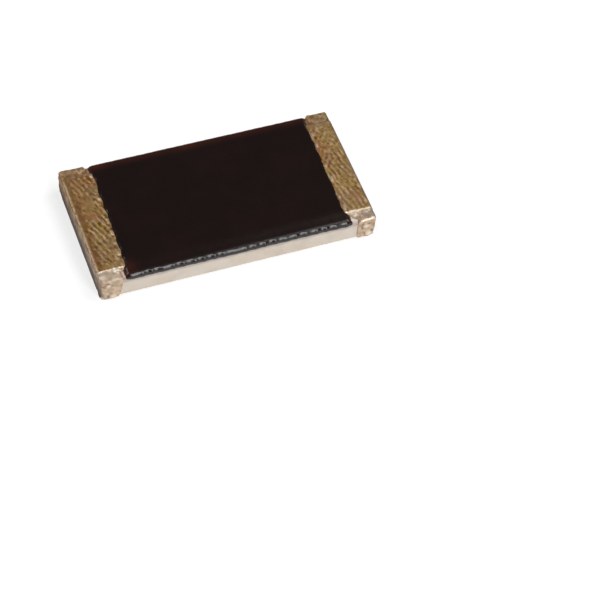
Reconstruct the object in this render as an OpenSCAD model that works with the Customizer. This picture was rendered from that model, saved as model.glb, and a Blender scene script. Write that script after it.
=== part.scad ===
// Thick-film chip resistor, about 6.35 x 3.27 x 0.69 mm, lying with its black coat up.
// X runs along the chip, Y across it, and Z = 0 is the face that is soldered down.

/* [Ceramic plate] */
// Length of the ceramic plate
plate_length = 6.28; // [6.1:0.01:6.5]
// Width of the ceramic plate
plate_width = 3.2; // [3.0:0.01:3.4]
// Thickness of the ceramic plate
plate_thickness = 0.55; // [0.4:0.01:0.7]
// Radius of the plate's four upright corners
plate_corner = 0.06; // [0.02:0.01:0.12]
// Leg of the bevel that scribing leaves along each long top edge
scribe_bevel = 0.05; // [0.03:0.005:0.08]

/* [Printed pads] */
// Thickness of a printed pad
pad_thickness = 0.02; // [0.012:0.001:0.03]
// Bare ceramic between a pad and each long edge
pad_margin = 0.26; // [0.22:0.01:0.4]
// Width of the slope round a printed pad
pad_slope = 0.11; // [0.05:0.005:0.13]
// Length of an underside pad, from the end of the plate
bottom_pad_length = 0.56; // [0.45:0.01:0.7]
// How far a top pad runs in under the coat
pad_under_coat = 0.4; // [0.35:0.01:0.6]

/* [Resistor film] */
// Thickness of the film
film_thickness = 0.012; // [0.008:0.001:0.018]
// How far the film lies on each top pad
film_overlap = 0.25; // [0.15:0.01:0.28]
// How far the film stays inside the pads' width on each side
film_inset = 0.1; // [0.06:0.01:0.3]
// Width of the laser trim cut
trim_kerf = 0.06; // [0.03:0.01:0.1]
// How far the trim cut reaches in across the film
trim_reach = 1.1; // [0.5:0.05:1.4]
// Length of the trim cut along the film
trim_leg = 1.3; // [0.6:0.05:1.8]
// Distance of the trim cut's start from the middle of the film
trim_offset = 0.7; // [0.2:0.05:1.2]

/* [Coats] */
// Thickness of the glass over the film
glass_thickness = 0.015; // [0.01:0.001:0.02]
// How far the glass reaches past the film on each side
glass_margin = 0.05; // [0.03:0.01:0.06]
// Length of the black coat where it lies on the pads
coat_length = 5.18; // [4.8:0.01:5.3]
// Height of the black coat above the ceramic
coat_thickness = 0.085; // [0.065:0.001:0.11]
// How much further the coat spreads at each end where it lies on bare ceramic
coat_flare = 0.06; // [0.02:0.01:0.1]
// Width of the slope at each end of the coat
coat_slope = 0.1; // [0.05:0.005:0.11]
// Radius of the coat's rolled long edges
coat_roll_radius = 0.09; // [0.07:0.005:0.11]
// How far the rolled edge stands out past the side of the plate
coat_lip = 0.012; // [0.006:0.001:0.02]
// How far the rolled edge runs down the side below the bevel
coat_drop = 0.012; // [0.006:0.001:0.03]

/* [Terminations] */
// How far an end cap wraps on to the bare ceramic
cap_wrap = 0.31; // [0.28:0.01:0.42]
// Thickness of an end cap
cap_thickness = 0.02; // [0.015:0.001:0.03]
// How much rounder the cap's edges are than an even layer's
cap_round = 0.02; // [0.01:0.002:0.024]
// Thickness of the nickel barrier
nickel_thickness = 0.006; // [0.004:0.001:0.01]
// Thickness of the outer plating
plating_thickness = 0.01; // [0.006:0.001:0.015]

/* [Hidden] */
$fn = 64;
left = -1;
right = 1;

// Each layer of a termination grows the one below it by its own thickness
nickel_grow = cap_thickness + nickel_thickness;
plating_grow = nickel_grow + plating_thickness;
// The underside of the plate stands this high above the soldered face
seat = pad_thickness + plating_grow;

plate_end = plate_length / 2;
plate_side = plate_width / 2;
pad_side = plate_side - pad_margin;
coat_end = coat_length / 2;
top_pad_length = plate_end - coat_end + pad_under_coat;
top_pad_inner = plate_end - top_pad_length;
film_end = top_pad_inner + film_overlap;
film_side = pad_side - film_inset;
glass_end = film_end + glass_margin;
glass_side = film_side + glass_margin;
glass_height = film_thickness + glass_thickness;
// Longer than the whole part in every direction, for sections that pass right through it
through = 2 * plate_length;

// A section drawn in Y and Z, drawn out along X
module along_x(length) {
    rotate([90, 0, 90])
        linear_extrude(length, center = true)
            children();
}

// A section drawn in X and Z, drawn out along Y
module along_y(length) {
    rotate([90, 0, 0])
        linear_extrude(length, center = true)
            children();
}

// A piece drawn for the right end, put on either end and raised to its place
module on_end(side) {
    translate([0, 0, seat])
        mirror([side == left ? 1 : 0, 0, 0])
            children();
}

module rounded_rect(size, r) {
    square([size.x - 2 * r, size.y], center = true);
    square([size.x, size.y - 2 * r], center = true);
    for (sx = [-1, 1], sy = [-1, 1])
        translate([sx * (size.x / 2 - r), sy * (size.y / 2 - r)])
            circle(r);
}

// A block on the plate's top, centred on X = 0 and Y = 0
module on_top(end, side, height) {
    translate([-end, -side, plate_thickness])
        cube([2 * end, 2 * side, height]);
}

// The bare plate, with its rounded corners and the bevels along its scribed top edges
module plate() {
    intersection() {
        linear_extrude(plate_thickness)
            rounded_rect([plate_length, plate_width], plate_corner);
        along_x(through)
            polygon([
                [-plate_side, 0],
                [plate_side, 0],
                [plate_side, plate_thickness - scribe_bevel],
                [plate_side - scribe_bevel, plate_thickness],
                [-plate_side + scribe_bevel, plate_thickness],
                [-plate_side, plate_thickness - scribe_bevel]
            ]);
    }
}

// The part of a layer that wraps the bare ceramic: the plate grown evenly, kept near its right end
module wrap(grow) {
    edge = cap_round + grow;
    long = plate_length + 2 * grow;
    wide = plate_width + 2 * grow;
    tall = plate_thickness + 2 * grow;
    intersection() {
        translate([0, 0, -grow])
            linear_extrude(tall)
                rounded_rect([long, wide], plate_corner + grow);
        translate([0, 0, plate_thickness / 2])
            along_x(through)
                rounded_rect([wide, tall], edge);
        translate([0, 0, plate_thickness / 2])
            along_y(through)
                rounded_rect([long, tall], edge);
        translate([plate_end - cap_wrap - grow, -through / 2, -through / 2])
            cube(through);
    }
}

// The part of a layer that rises over the two printed pads and joins them down the end face
module pad_wrap(grow) {
    rise = pad_thickness + grow;
    tall = plate_thickness + 2 * rise;
    top_in = top_pad_inner - grow;
    bottom_in = plate_end - bottom_pad_length - grow;
    foot = pad_side + grow;
    shoulder = foot - pad_slope;
    intersection() {
        along_y(through)
            polygon([
                [top_in, plate_thickness],
                [top_in + pad_slope, plate_thickness + rise],
                [through, plate_thickness + rise],
                [through, -rise],
                [bottom_in + pad_slope, -rise],
                [bottom_in, 0]
            ]);
        along_x(through)
            polygon([
                [-foot, 0],
                [-shoulder, -rise],
                [shoulder, -rise],
                [foot, 0],
                [foot, plate_thickness],
                [shoulder, plate_thickness + rise],
                [-shoulder, plate_thickness + rise],
                [-foot, plate_thickness]
            ]);
        translate([0, 0, plate_thickness / 2])
            along_y(through)
                rounded_rect([plate_length + 2 * grow, tall], cap_round + grow);
    }
}

// Everything from the ceramic out to one layer's outer face, at the right end
module layer_form(grow) {
    wrap(grow);
    pad_wrap(grow);
}

// Both pads of the right end are sloped plates, flush with the end of the plate
module pad(inner) {
    outer_x = plate_end - inner;
    shoulder = pad_side - pad_slope;
    intersection() {
        along_y(through)
            polygon([
                [inner, 0],
                [inner + pad_slope, pad_thickness],
                [inner + outer_x, pad_thickness],
                [inner + outer_x, 0]
            ]);
        along_x(through)
            polygon([
                [-pad_side, 0],
                [-shoulder, pad_thickness],
                [shoulder, pad_thickness],
                [pad_side, 0]
            ]);
    }
}

module top_pad_form() {
    translate([0, 0, plate_thickness])
        pad(top_pad_inner);
}

module bottom_pad_form() {
    mirror([0, 0, 1])
        pad(plate_end - bottom_pad_length);
}

module both_top_pads() {
    top_pad_form();
    mirror([1, 0, 0])
        top_pad_form();
}

// A printed layer over the plate and, one step higher, over the inner ends of both top pads
module draped(end, side, height) {
    step = top_pad_inner - height;
    on_top(end, side, height);
    for (s = [0, 1])
        mirror([s, 0, 0])
            translate([step, -side, plate_thickness])
                cube([end - step, 2 * side, pad_thickness + height]);
}

// The laser trim: a cut in from the front edge, then along the film
module trim_cut() {
    front = -glass_side - glass_margin;
    turn = -film_side + trim_reach;
    top = pad_thickness + glass_height;
    translate([trim_offset - trim_leg, front, plate_thickness]) {
        cube([trim_kerf, turn - front, top]);
        translate([0, turn - front - trim_kerf, 0])
            cube([trim_leg, trim_kerf, top]);
    }
}

module film_form() {
    draped(film_end, film_side, film_thickness);
}

module glass_form() {
    draped(glass_end, glass_side, glass_height);
}

// A lengthwise outline of the coat, with a slope at both ends
module coat_outline(end) {
    top = plate_thickness + coat_thickness;
    polygon([
        [-end, 0],
        [end, 0],
        [end, plate_thickness],
        [end - coat_slope, top],
        [-end + coat_slope, top],
        [-end, plate_thickness]
    ]);
}

// The coat's outer face: rolled over both long edges, and spread further on the bare margins
module coat_form() {
    bottom = plate_thickness - scribe_bevel - coat_drop;
    top = plate_thickness + coat_thickness;
    wide = 2 * (plate_side + coat_lip);
    margin = pad_margin + coat_lip;
    intersection() {
        along_x(through)
            intersection() {
                translate([0, top - plate_thickness])
                    rounded_rect([wide, 2 * plate_thickness], coat_roll_radius);
                translate([-plate_width, bottom])
                    square([2 * plate_width, plate_thickness]);
            }
        union() {
            along_y(2 * pad_side)
                coat_outline(coat_end);
            for (s = [-1, 1])
                translate([0, s * (pad_side + margin / 2), 0])
                    along_y(margin)
                        coat_outline(coat_end + coat_flare);
        }
    }
}

module ceramic_substrate() {
    color("#e6d8c3")
        translate([0, 0, seat])
            plate();
}

module top_pad(side) {
    color("#b7a98e")
        on_end(side)
            top_pad_form();
}

module bottom_pad(side) {
    color("#b7a98e")
        on_end(side)
            bottom_pad_form();
}

module resistor_film() {
    color("#2c2d33")
        translate([0, 0, seat])
            difference() {
                film_form();
                both_top_pads();
                trim_cut();
            }
}

module glass_undercoat() {
    color("#3f5b4c")
        translate([0, 0, seat])
            difference() {
                glass_form();
                film_form();
                both_top_pads();
                trim_cut();
            }
}

module black_overcoat() {
    color("#1d1412")
        translate([0, 0, seat])
            difference() {
                coat_form();
                plate();
                both_top_pads();
                difference() {
                    glass_form();
                    trim_cut();
                }
            }
}

module end_cap(side) {
    color("#b3aa98")
        on_end(side)
            difference() {
                layer_form(cap_thickness);
                plate();
                top_pad_form();
                bottom_pad_form();
                coat_form();
            }
}

module nickel_barrier(side) {
    color("#a7a294")
        on_end(side)
            difference() {
                layer_form(nickel_grow);
                layer_form(cap_thickness);
                plate();
                coat_form();
            }
}

module outer_plating(side) {
    color("#94744a")
        on_end(side)
            difference() {
                layer_form(plating_grow);
                layer_form(nickel_grow);
                plate();
                coat_form();
            }
}

ceramic_substrate();
top_pad(left);  // top_pad_left
top_pad(right);  // top_pad_right
bottom_pad(left);  // bottom_pad_left
bottom_pad(right);  // bottom_pad_right
resistor_film();
glass_undercoat();
black_overcoat();
end_cap(left);  // end_cap_left
end_cap(right);  // end_cap_right
nickel_barrier(left);  // nickel_barrier_left
nickel_barrier(right);  // nickel_barrier_right
outer_plating(left);  // outer_plating_left
outer_plating(right);  // outer_plating_right
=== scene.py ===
import math
from types import SimpleNamespace
import bpy
import numpy as np
from mathutils import Matrix, Vector, noise


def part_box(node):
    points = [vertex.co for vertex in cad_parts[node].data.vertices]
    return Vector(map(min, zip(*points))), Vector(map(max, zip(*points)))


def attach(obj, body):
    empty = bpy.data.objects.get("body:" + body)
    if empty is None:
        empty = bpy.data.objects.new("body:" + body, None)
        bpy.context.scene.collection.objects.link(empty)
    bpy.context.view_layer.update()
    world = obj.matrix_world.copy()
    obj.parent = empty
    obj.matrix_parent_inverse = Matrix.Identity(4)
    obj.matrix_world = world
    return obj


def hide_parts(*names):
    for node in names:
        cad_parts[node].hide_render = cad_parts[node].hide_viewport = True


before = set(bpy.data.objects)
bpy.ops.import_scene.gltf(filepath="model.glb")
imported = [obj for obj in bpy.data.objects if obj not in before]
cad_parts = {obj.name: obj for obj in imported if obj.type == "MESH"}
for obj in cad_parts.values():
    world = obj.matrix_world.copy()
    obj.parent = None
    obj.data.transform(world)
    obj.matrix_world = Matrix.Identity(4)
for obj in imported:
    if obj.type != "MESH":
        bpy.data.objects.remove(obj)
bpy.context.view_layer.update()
mm = 0.001
tiny = 1e-9     # keeps divisions safe
scene = bpy.context.scene
scene.view_settings.view_transform = "Standard"

# the plate, the coat and the terminations as the solids have them, in millimetres
plateLow, plateHigh = (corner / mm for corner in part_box("ceramic_substrate"))
coatLow, coatHigh = (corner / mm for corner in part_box("black_overcoat"))
plateEnd, plateSide = plateHigh.x, plateHigh.y
plateFoot, plateTop = plateLow.z, plateHigh.z
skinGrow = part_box("outer_plating_right")[1].x / mm - plateEnd    # from the plate to the outside of a skin
skinHalf = plateSide + skinGrow
padRise = plateFoot - skinGrow       # how far a plated pad stands out of its band
scribeBevel = 0.05                   # broken edge along the scribed sides
padFoot = 1.376                      # half width of a plated pad
padRound = (1.298, 1.340)            # where its rounded ends fall
coatSlip, coatSkew = 0.028, 0.031    # the coat is printed a little to the right and askew


# small helpers for the meshes

def softNoise(x, y, z, size, seed):
    x, y, z = np.broadcast_arrays(x, y, z)
    spots = np.stack([x, y, z], -1).reshape(-1, 3) / size + (seed * 7.31, seed * 3.17, seed * 1.93)
    return np.array([noise.noise(spot) for spot in spots]).reshape(x.shape)


def smoothStep(low, high, value):
    t = np.clip((value - low) / (high - low), 0.0, 1.0)
    return t * t * (3.0 - 2.0 * t)


def bell(value, middle, width):
    return np.exp(-((value - middle) / width) ** 2)


def coatShift(side, y):
    # how far out an end of the coat lies, since its print slipped
    return side * (coatSlip + coatSkew * np.clip(y / padFoot, -1.0, 1.0))


def steps(*runs):
    # stations along a line: each run is a length and its number of cells
    stations = [0.0]
    for length, cells in runs:
        stations.extend(np.linspace(stations[-1], stations[-1] + length, cells + 1)[1:])
    return np.array(stations)


def gridFaces(index, flip=False):
    a, b, c, d = index[:-1, :-1], index[1:, :-1], index[1:, 1:], index[:-1, 1:]
    order = (a, d, c, b) if flip else (a, b, c, d)
    return np.stack(order, -1).reshape(-1, 4)


def ontoPlate(y, z):
    # nearest spot of the plate's outline, with its broken top edges, to a spot outside it
    side = np.abs(y)
    face = (np.minimum(side, plateSide - scribeBevel), np.full_like(z, plateTop))
    wall = (np.full_like(side, plateSide), np.clip(z, plateFoot, plateTop - scribeBevel))
    along = np.clip((side - plateSide + scribeBevel - z + plateTop) / 2.0, 0.0, scribeBevel)
    bevel = (plateSide - scribeBevel + along, plateTop - along)
    foot = (np.minimum(side, plateSide), np.full_like(z, plateFoot))
    spots = np.array([face, wall, bevel, foot])
    nearest = np.argmin(np.hypot(side - spots[:, 0], z - spots[:, 1]), 0)[None]
    spotY, spotZ = (np.take_along_axis(spots[:, i], nearest, 0)[0] for i in (0, 1))
    return np.sign(y) * spotY, spotZ


def makePiece(name, points, faces, marks, material, cadNode):
    mesh = bpy.data.meshes.new(name)
    mesh.from_pydata((points * mm).tolist(), [], [face.tolist() for face in faces])
    for mark, values in marks.items():
        layer = mesh.attributes.new(mark, "FLOAT", "POINT")
        layer.data.foreach_set("value", values.astype(np.float32))
    mesh.polygons.foreach_set("use_smooth", [True] * len(mesh.polygons))
    mesh.materials.append(material)
    piece = bpy.data.objects.new(name, mesh)
    scene.collection.objects.link(piece)
    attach(piece, "root")
    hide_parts(cadNode)
    print(name, len(mesh.polygons), "faces")


# small helpers for the materials

def addNode(tree, kind, spot, **values):
    node = tree.nodes.new(kind)
    node.location = spot
    for key, value in values.items():
        if key in node.inputs:
            node.inputs[key].default_value = value
        else:
            setattr(node, key, value)
    return node


def addRamp(tree, source, stops, spot):
    ramp = addNode(tree, "ShaderNodeValToRGB", spot)
    while len(ramp.color_ramp.elements) < len(stops):
        ramp.color_ramp.elements.new(0.5)
    for element, (place, colour) in zip(ramp.color_ramp.elements, stops):
        element.position = place
        element.color = (*colour, 1.0)
    tree.links.new(source, ramp.inputs["Fac"])
    return ramp.outputs["Color"]


def mixColour(tree, fac, first, second, spot):
    # from the first colour to the second, each a socket or three numbers
    mix = addNode(tree, "ShaderNodeMix", spot, data_type="RGBA")
    tree.links.new(fac, mix.inputs[0])
    for socket, value in ((mix.inputs[6], first), (mix.inputs[7], second)):
        if isinstance(value, bpy.types.NodeSocket):
            tree.links.new(value, socket)
        else:
            socket.default_value = (*value, 1.0)
    return mix.outputs[2]


def maths(tree, operation, first, second, spot, clamp=False):
    node = addNode(tree, "ShaderNodeMath", spot, operation=operation, use_clamp=clamp)
    for socket, value in zip(node.inputs, (first, second)):
        if isinstance(value, bpy.types.NodeSocket):
            tree.links.new(value, socket)
        else:
            socket.default_value = value
    return node.outputs[0]


def newMaterial(name):
    material = bpy.data.materials.new(name)
    material.use_nodes = True
    tree = material.node_tree
    shader = tree.nodes["Principled BSDF"]
    shader.location = (600, 0)
    tree.nodes["Material Output"].location = (900, 0)
    return material, tree, shader


def newGroup(name, inputs, outputs):
    # a shared effect whose inputs and outputs are plain numbers
    group = bpy.data.node_groups.new(name, "ShaderNodeTree")
    for way, sockets in (("INPUT", inputs), ("OUTPUT", outputs)):
        for socket in sockets:
            group.interface.new_socket(name=socket, in_out=way, socket_type="NodeSocketFloat")
    return group, group.nodes.new("NodeGroupInput"), group.nodes.new("NodeGroupOutput")


def place(tree, group, spot, values):
    # one use of a shared effect, with its inputs in their order
    node = addNode(tree, "ShaderNodeGroup", spot, node_tree=group)
    for socket, value in zip(node.inputs, values):
        socket.default_value = value
    return node


def objectMillimetres(tree, spot):
    # object coordinates in millimetres, so that texture scales read as cells per millimetre
    where = addNode(tree, "ShaderNodeTexCoord", spot)
    beside = (spot[0] + 180, spot[1])
    scaled = addNode(tree, "ShaderNodeVectorMath", beside, operation="SCALE", Scale=1.0 / mm)
    tree.links.new(where.outputs["Object"], scaled.inputs[0])
    return scaled.outputs[0]


# shared effects

def buildGrain():
    # fine fired grain with pits: a height for bumps and roughness
    group, source, sink = newGroup("firedGrain", ("Grain per mm", "Pits per mm", "Pit depth"), ("Height",))
    where = objectMillimetres(group, (-900, 0))
    fine = addNode(group, "ShaderNodeTexNoise", (-500, 150), Detail=4.0, Roughness=0.6)
    group.links.new(where, fine.inputs["Vector"])
    group.links.new(source.outputs["Grain per mm"], fine.inputs["Scale"])
    cells = addNode(group, "ShaderNodeTexVoronoi", (-500, -150), Randomness=1.0)
    group.links.new(where, cells.inputs["Vector"])
    group.links.new(source.outputs["Pits per mm"], cells.inputs["Scale"])
    pits = addNode(group, "ShaderNodeMapRange", (-300, -150), interpolation_type="SMOOTHSTEP")
    for socket, value in (("From Min", 0.12), ("From Max", 0.34), ("To Min", 1.0), ("To Max", 0.0)):
        pits.inputs[socket].default_value = value
    group.links.new(cells.outputs["Distance"], pits.inputs["Value"])
    depth = maths(group, "MULTIPLY", pits.outputs[0], source.outputs["Pit depth"], (-100, -150))
    height = maths(group, "SUBTRACT", fine.outputs["Fac"], depth, (60, 0))
    group.links.new(height, sink.inputs["Height"])
    return group


def buildClouds():
    # slow uneven patches, as of stain or tarnish, and small specks
    group, source, sink = newGroup("unevenPatches", ("Patches per mm", "Low", "High"), ("Mask", "Speckle"))
    where = objectMillimetres(group, (-900, 0))
    slow = addNode(group, "ShaderNodeTexNoise", (-500, 150), Detail=5.0, Roughness=0.62, Distortion=0.4)
    group.links.new(where, slow.inputs["Vector"])
    group.links.new(source.outputs["Patches per mm"], slow.inputs["Scale"])
    mask = addNode(group, "ShaderNodeMapRange", (-250, 150), interpolation_type="SMOOTHSTEP")
    group.links.new(slow.outputs["Fac"], mask.inputs["Value"])
    group.links.new(source.outputs["Low"], mask.inputs["From Min"])
    group.links.new(source.outputs["High"], mask.inputs["From Max"])
    group.links.new(mask.outputs[0], sink.inputs["Mask"])
    speckle = addNode(group, "ShaderNodeTexNoise", (-500, -150), Scale=34.0, Detail=3.0, Roughness=0.7)
    group.links.new(where, speckle.inputs["Vector"])
    group.links.new(speckle.outputs["Fac"], sink.inputs["Speckle"])
    return group


firedGrain = buildGrain()
unevenPatches = buildClouds()


def bumpFrom(tree, height, shader, strength, distance, spot):
    bump = addNode(tree, "ShaderNodeBump", spot, Strength=strength, Distance=distance * mm)
    tree.links.new(height, bump.inputs["Height"])
    tree.links.new(bump.outputs["Normal"], shader.inputs["Normal"])


def grainRamp(tree, grain, values, spot, stops=(0.2, 0.8)):
    # a plain value that goes from low to high with the height of the grain
    greys = [(stop, (value,) * 3) for stop, value in zip(stops, values)]
    return addRamp(tree, grain.outputs["Height"], greys, spot)


def attributeMask(tree, name, spot):
    return addNode(tree, "ShaderNodeAttribute", spot, attribute_name=name).outputs["Fac"]


# materials of the visible pieces

aluminaLook = {
    "pale": (0.79, 0.70, 0.60),
    "warm": (0.735, 0.62, 0.505),
    "scribed": (0.47, 0.405, 0.375),
    "stain": (0.17, 0.105, 0.05),
    "fleck": (0.50, 0.40, 0.30),
    "scribedShare": 0.75,
    "fleckStops": ((0.66, (0, 0, 0)), (0.76, (0.5, 0.5, 0.5))),
    "roughness": (0.5, 0.68),
    "patches": (1.6, 0.4, 0.75),    # per millimetre, and where they start and are full
    "grain": (55.0, 9.0, 0.35),     # grain and pits per millimetre, and depth of the pits
    "bump": (0.5, 0.006),           # strength, and height in millimetres
}


def makeAlumina():
    look = aluminaLook
    material, tree, shader = newMaterial("ivoryAlumina")
    patches = place(tree, unevenPatches, (-700, 200), look["patches"])
    grain = place(tree, firedGrain, (-700, -200), look["grain"])
    base = mixColour(tree, patches.outputs["Mask"], look["pale"], look["warm"], (-300, 250))
    scribed = attributeMask(tree, "scribed", (-700, 450))
    scribed = maths(tree, "MULTIPLY", scribed, look["scribedShare"], (-480, 450))
    base = mixColour(tree, scribed, base, look["scribed"], (-100, 250))
    base = mixColour(tree, attributeMask(tree, "stained", (-700, 650)), base, look["stain"], (0, 400))
    flecks = addRamp(tree, patches.outputs["Speckle"], look["fleckStops"], (-480, 20))
    base = mixColour(tree, flecks, base, look["fleck"], (100, 250))
    tree.links.new(base, shader.inputs["Base Color"])
    rough = grainRamp(tree, grain, look["roughness"], (-300, -60))
    tree.links.new(rough, shader.inputs["Roughness"])
    bumpFrom(tree, grain.outputs["Height"], shader, *look["bump"], (300, -250))
    return material


coatLook = {
    "deep": (0.0064, 0.0012, 0.0006),
    "bloom": (0.0086, 0.0020, 0.0011),
    "thin": (0.085, 0.014, 0.004),
    "roughness": (0.17, 0.25),
    "specular": 0.5,
    "patches": (1.1, 0.35, 0.7),
    "grain": (26.0, 6.0, 0.25),
    "bump": (0.25, 0.004),
}


def makeOvercoat():
    look = coatLook
    material, tree, shader = newMaterial("brownBlackOvercoat")
    patches = place(tree, unevenPatches, (-700, 200), look["patches"])
    grain = place(tree, firedGrain, (-700, -200), look["grain"])
    base = mixColour(tree, patches.outputs["Mask"], look["deep"], look["bloom"], (-300, 250))
    base = mixColour(tree, attributeMask(tree, "thinness", (-700, 450)), base, look["thin"], (-100, 250))
    tree.links.new(base, shader.inputs["Base Color"])
    rough = grainRamp(tree, grain, look["roughness"], (-300, -60), stops=(0.25, 0.75))
    tree.links.new(rough, shader.inputs["Roughness"])
    shader.inputs["Specular IOR Level"].default_value = look["specular"]
    bumpFrom(tree, grain.outputs["Height"], shader, *look["bump"], (300, -250))
    return material


finishLook = {
    "hollow": (0.15, 0.075, 0.024),
    "plain": (0.47, 0.27, 0.102),
    "crest": (0.74, 0.53, 0.295),
    "olive": (0.38, 0.27, 0.055),
    "mauve": (0.43, 0.27, 0.17),
    "soldered": (0.40, 0.285, 0.155),
    "bright": (0.62, 0.465, 0.34),
    "dull": (0.31, 0.205, 0.13),
    # cream colour of the painted highlights on bevels, band edges, drops and beads
    "worn": (0.96, 0.85, 0.69),
    "tarnish": (0.20, 0.088, 0.025),
    "rust": (0.42, 0.14, 0.04),
    # colour of the darkening: painted shade along the right pad's outer edge, and darker low end faces and
    # drop rings
    "grime": (0.085, 0.072, 0.066),
    # how much of each tint
    "tintShare": {"olive": 0.5, "mauve": 0.6, "rust": 0.55},
    "solderedShare": 0.5,
    "dullShare": 0.75,
    "tarnishShare": 0.7,
    "padRoughness": (0.42, 0.60),
    "bandRoughness": (0.22, 0.40),
    "dirtRoughness": 0.95,
    "padMetal": 0.8,
    "bandMetal": 0.58,
    "patches": (2.6, 0.42, 0.72),
    "spots": (5.5, 0.44, 0.6),
    "rustPatches": (1.3, 0.5, 0.72),
    "grain": (20.0, 9.0, 0.2),
    "bump": (0.6, 0.009),
}


def makeFinish():
    look = finishLook
    material, tree, shader = newMaterial("goldBrownFinish")
    patches = place(tree, unevenPatches, (-900, 200), look["patches"])
    spots = place(tree, unevenPatches, (-900, 0), look["spots"])
    rust = place(tree, unevenPatches, (-900, -500), look["rustPatches"])
    grain = place(tree, firedGrain, (-900, -200), look["grain"])
    relief = attributeMask(tree, "relief", (-900, 500))
    tones = ((0.0, look["hollow"]), (0.5, look["plain"]), (1.0, look["crest"]))
    pads = addRamp(tree, relief, tones, (-500, 500))
    tints = (("olive", spots, (-400, 600)), ("mauve", patches, (-380, 520)), ("rust", rust, (-350, 450)))
    for tint, mask, spot in tints:
        part = maths(tree, "MULTIPLY", mask.outputs["Mask"], look["tintShare"][tint], (-500, spot[1] - 500))
        pads = mixColour(tree, part, pads, look[tint], spot)
    pale = attributeMask(tree, "pale", (-900, 700))
    pale = maths(tree, "MULTIPLY", pale, look["solderedShare"], (-500, 750))
    base = mixColour(tree, pale, pads, look["soldered"], (-200, 500))
    blotched = maths(tree, "MULTIPLY", spots.outputs["Mask"], look["dullShare"], (-500, 900))
    band = mixColour(tree, blotched, look["bright"], look["dull"], (-300, 950))
    # the band's own paler finish, with painted sheen towards the front and painted glints on the beads
    bare = attributeMask(tree, "bare", (-900, 1100))
    base = mixColour(tree, bare, base, band, (-50, 500))
    # painted highlights, in a cream colour
    base = mixColour(tree, attributeMask(tree, "worn", (-900, 1500)), base, look["worn"], (0, 600))
    edge = attributeMask(tree, "border", (-900, 900))
    edge = maths(tree, "MULTIPLY", edge, look["tarnishShare"], (-300, 850))
    base = mixColour(tree, edge, base, look["tarnish"], (100, 400))
    # darker low end faces, darker rings round drops, and painted shade along the outer edge of the right pad
    grimed = attributeMask(tree, "grimed", (-900, 1300))
    base = mixColour(tree, grimed, base, look["grime"], (250, 400))
    tree.links.new(base, shader.inputs["Base Color"])
    dirty = maths(tree, "MAXIMUM", grimed, edge, (-100, 1000))
    dirty = maths(tree, "MAXIMUM", dirty, attributeMask(tree, "matt", (-900, 1700)), (60, 1000))
    padRough = grainRamp(tree, grain, look["padRoughness"], (-300, -60))
    bandRough = grainRamp(tree, grain, look["bandRoughness"], (-300, -300))
    rough = mixColour(tree, bare, padRough, bandRough, (100, -100))
    rough = mixColour(tree, dirty, rough, (look["dirtRoughness"],) * 3, (250, -100))
    tree.links.new(rough, shader.inputs["Roughness"])
    metal = mixColour(tree, bare, (look["padMetal"],) * 3, (look["bandMetal"],) * 3, (100, 100))
    metal = mixColour(tree, grimed, metal, (0.0, 0.0, 0.0), (250, 100))
    tree.links.new(metal, shader.inputs["Metallic"])
    bumpFrom(tree, grain.outputs["Height"], shader, *look["bump"], (300, -250))
    return material


# materials of the layers inside

layerLooks = {
    "conductorPaste": {"light": (0.60, 0.56, 0.49), "dark": (0.46, 0.42, 0.36),
                       "metallic": 0.8, "roughness": (0.42, 0.6)},
    "resistiveGlaze": {"light": (0.045, 0.045, 0.055), "dark": (0.018, 0.018, 0.024),
                       "metallic": 0.0, "roughness": (0.35, 0.55)},
    "undercoatGlass": {"light": (0.085, 0.15, 0.11), "dark": (0.04, 0.08, 0.06),
                       "metallic": 0.0, "roughness": (0.12, 0.3)},
    "nickelBarrier": {"light": (0.50, 0.47, 0.41), "dark": (0.38, 0.35, 0.30),
                      "metallic": 1.0, "roughness": (0.3, 0.45)},
}
layerSurface = {"patches": (2.2, 0.3, 0.7), "grain": (45.0, 14.0, 0.4), "bump": (0.3, 0.003)}
layerNodes = {
    "conductorPaste": ("top_pad_left", "top_pad_right", "bottom_pad_left", "bottom_pad_right",
                       "end_cap_left", "end_cap_right"),
    "resistiveGlaze": ("resistor_film",),
    "undercoatGlass": ("glass_undercoat",),
    "nickelBarrier": ("nickel_barrier_left", "nickel_barrier_right"),
}


def makeLayer(name):
    look = layerLooks[name]
    material, tree, shader = newMaterial(name)
    patches = place(tree, unevenPatches, (-700, 200), layerSurface["patches"])
    grain = place(tree, firedGrain, (-700, -200), layerSurface["grain"])
    base = mixColour(tree, patches.outputs["Mask"], look["light"], look["dark"], (-200, 250))
    tree.links.new(base, shader.inputs["Base Color"])
    rough = grainRamp(tree, grain, look["roughness"], (-300, -60))
    tree.links.new(rough, shader.inputs["Roughness"])
    shader.inputs["Metallic"].default_value = look["metallic"]
    bumpFrom(tree, grain.outputs["Height"], shader, *layerSurface["bump"], (300, -250))
    return material


for layerName, nodeNames in layerNodes.items():
    layerMaterial = makeLayer(layerName)
    for nodeName in nodeNames:
        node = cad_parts[nodeName]
        node.data.materials.clear()
        node.data.materials.append(layerMaterial)
print("layers inside have their materials")


# ceramic plate: scribed pits along the upper part of its long sides, broken faces below

plateSettings = {
    "cellLength": 0.024,
    "flatCells": 12,            # across half of the top and half of the underside
    "sideCells": 26,
    "bevelCells": 4,
    "footCells": 3,
    "footRadius": 0.014,
    "cornerRadius": 0.06,
    "sideStart": (0.06, 0.005),     # the pits start and are full this far in from a long side
    "scribeDepth": 0.19,        # how far the laser went in from the top
    "scribePitch": 0.2,         # distance between its pits
    "pitDepth": 0.011,
    "pitSharpness": 1.4,
    "backSlip": 0.06,           # the back pits lie this much further along
    "breakRoughness": 0.0035,
    "nickDepth": 0.012,
    "nickHeight": 0.035,        # chipped only this near the foot
    # stain of the bare patches beside the pads: along, down from the top, and how strong
    "stainStart": (2.4, 2.5),
    "stainDepth": (0.1, 0.02),
    "backStain": 1.0,
    "frontStain": {-1: 0.42, 1: 0.22},
}


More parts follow.
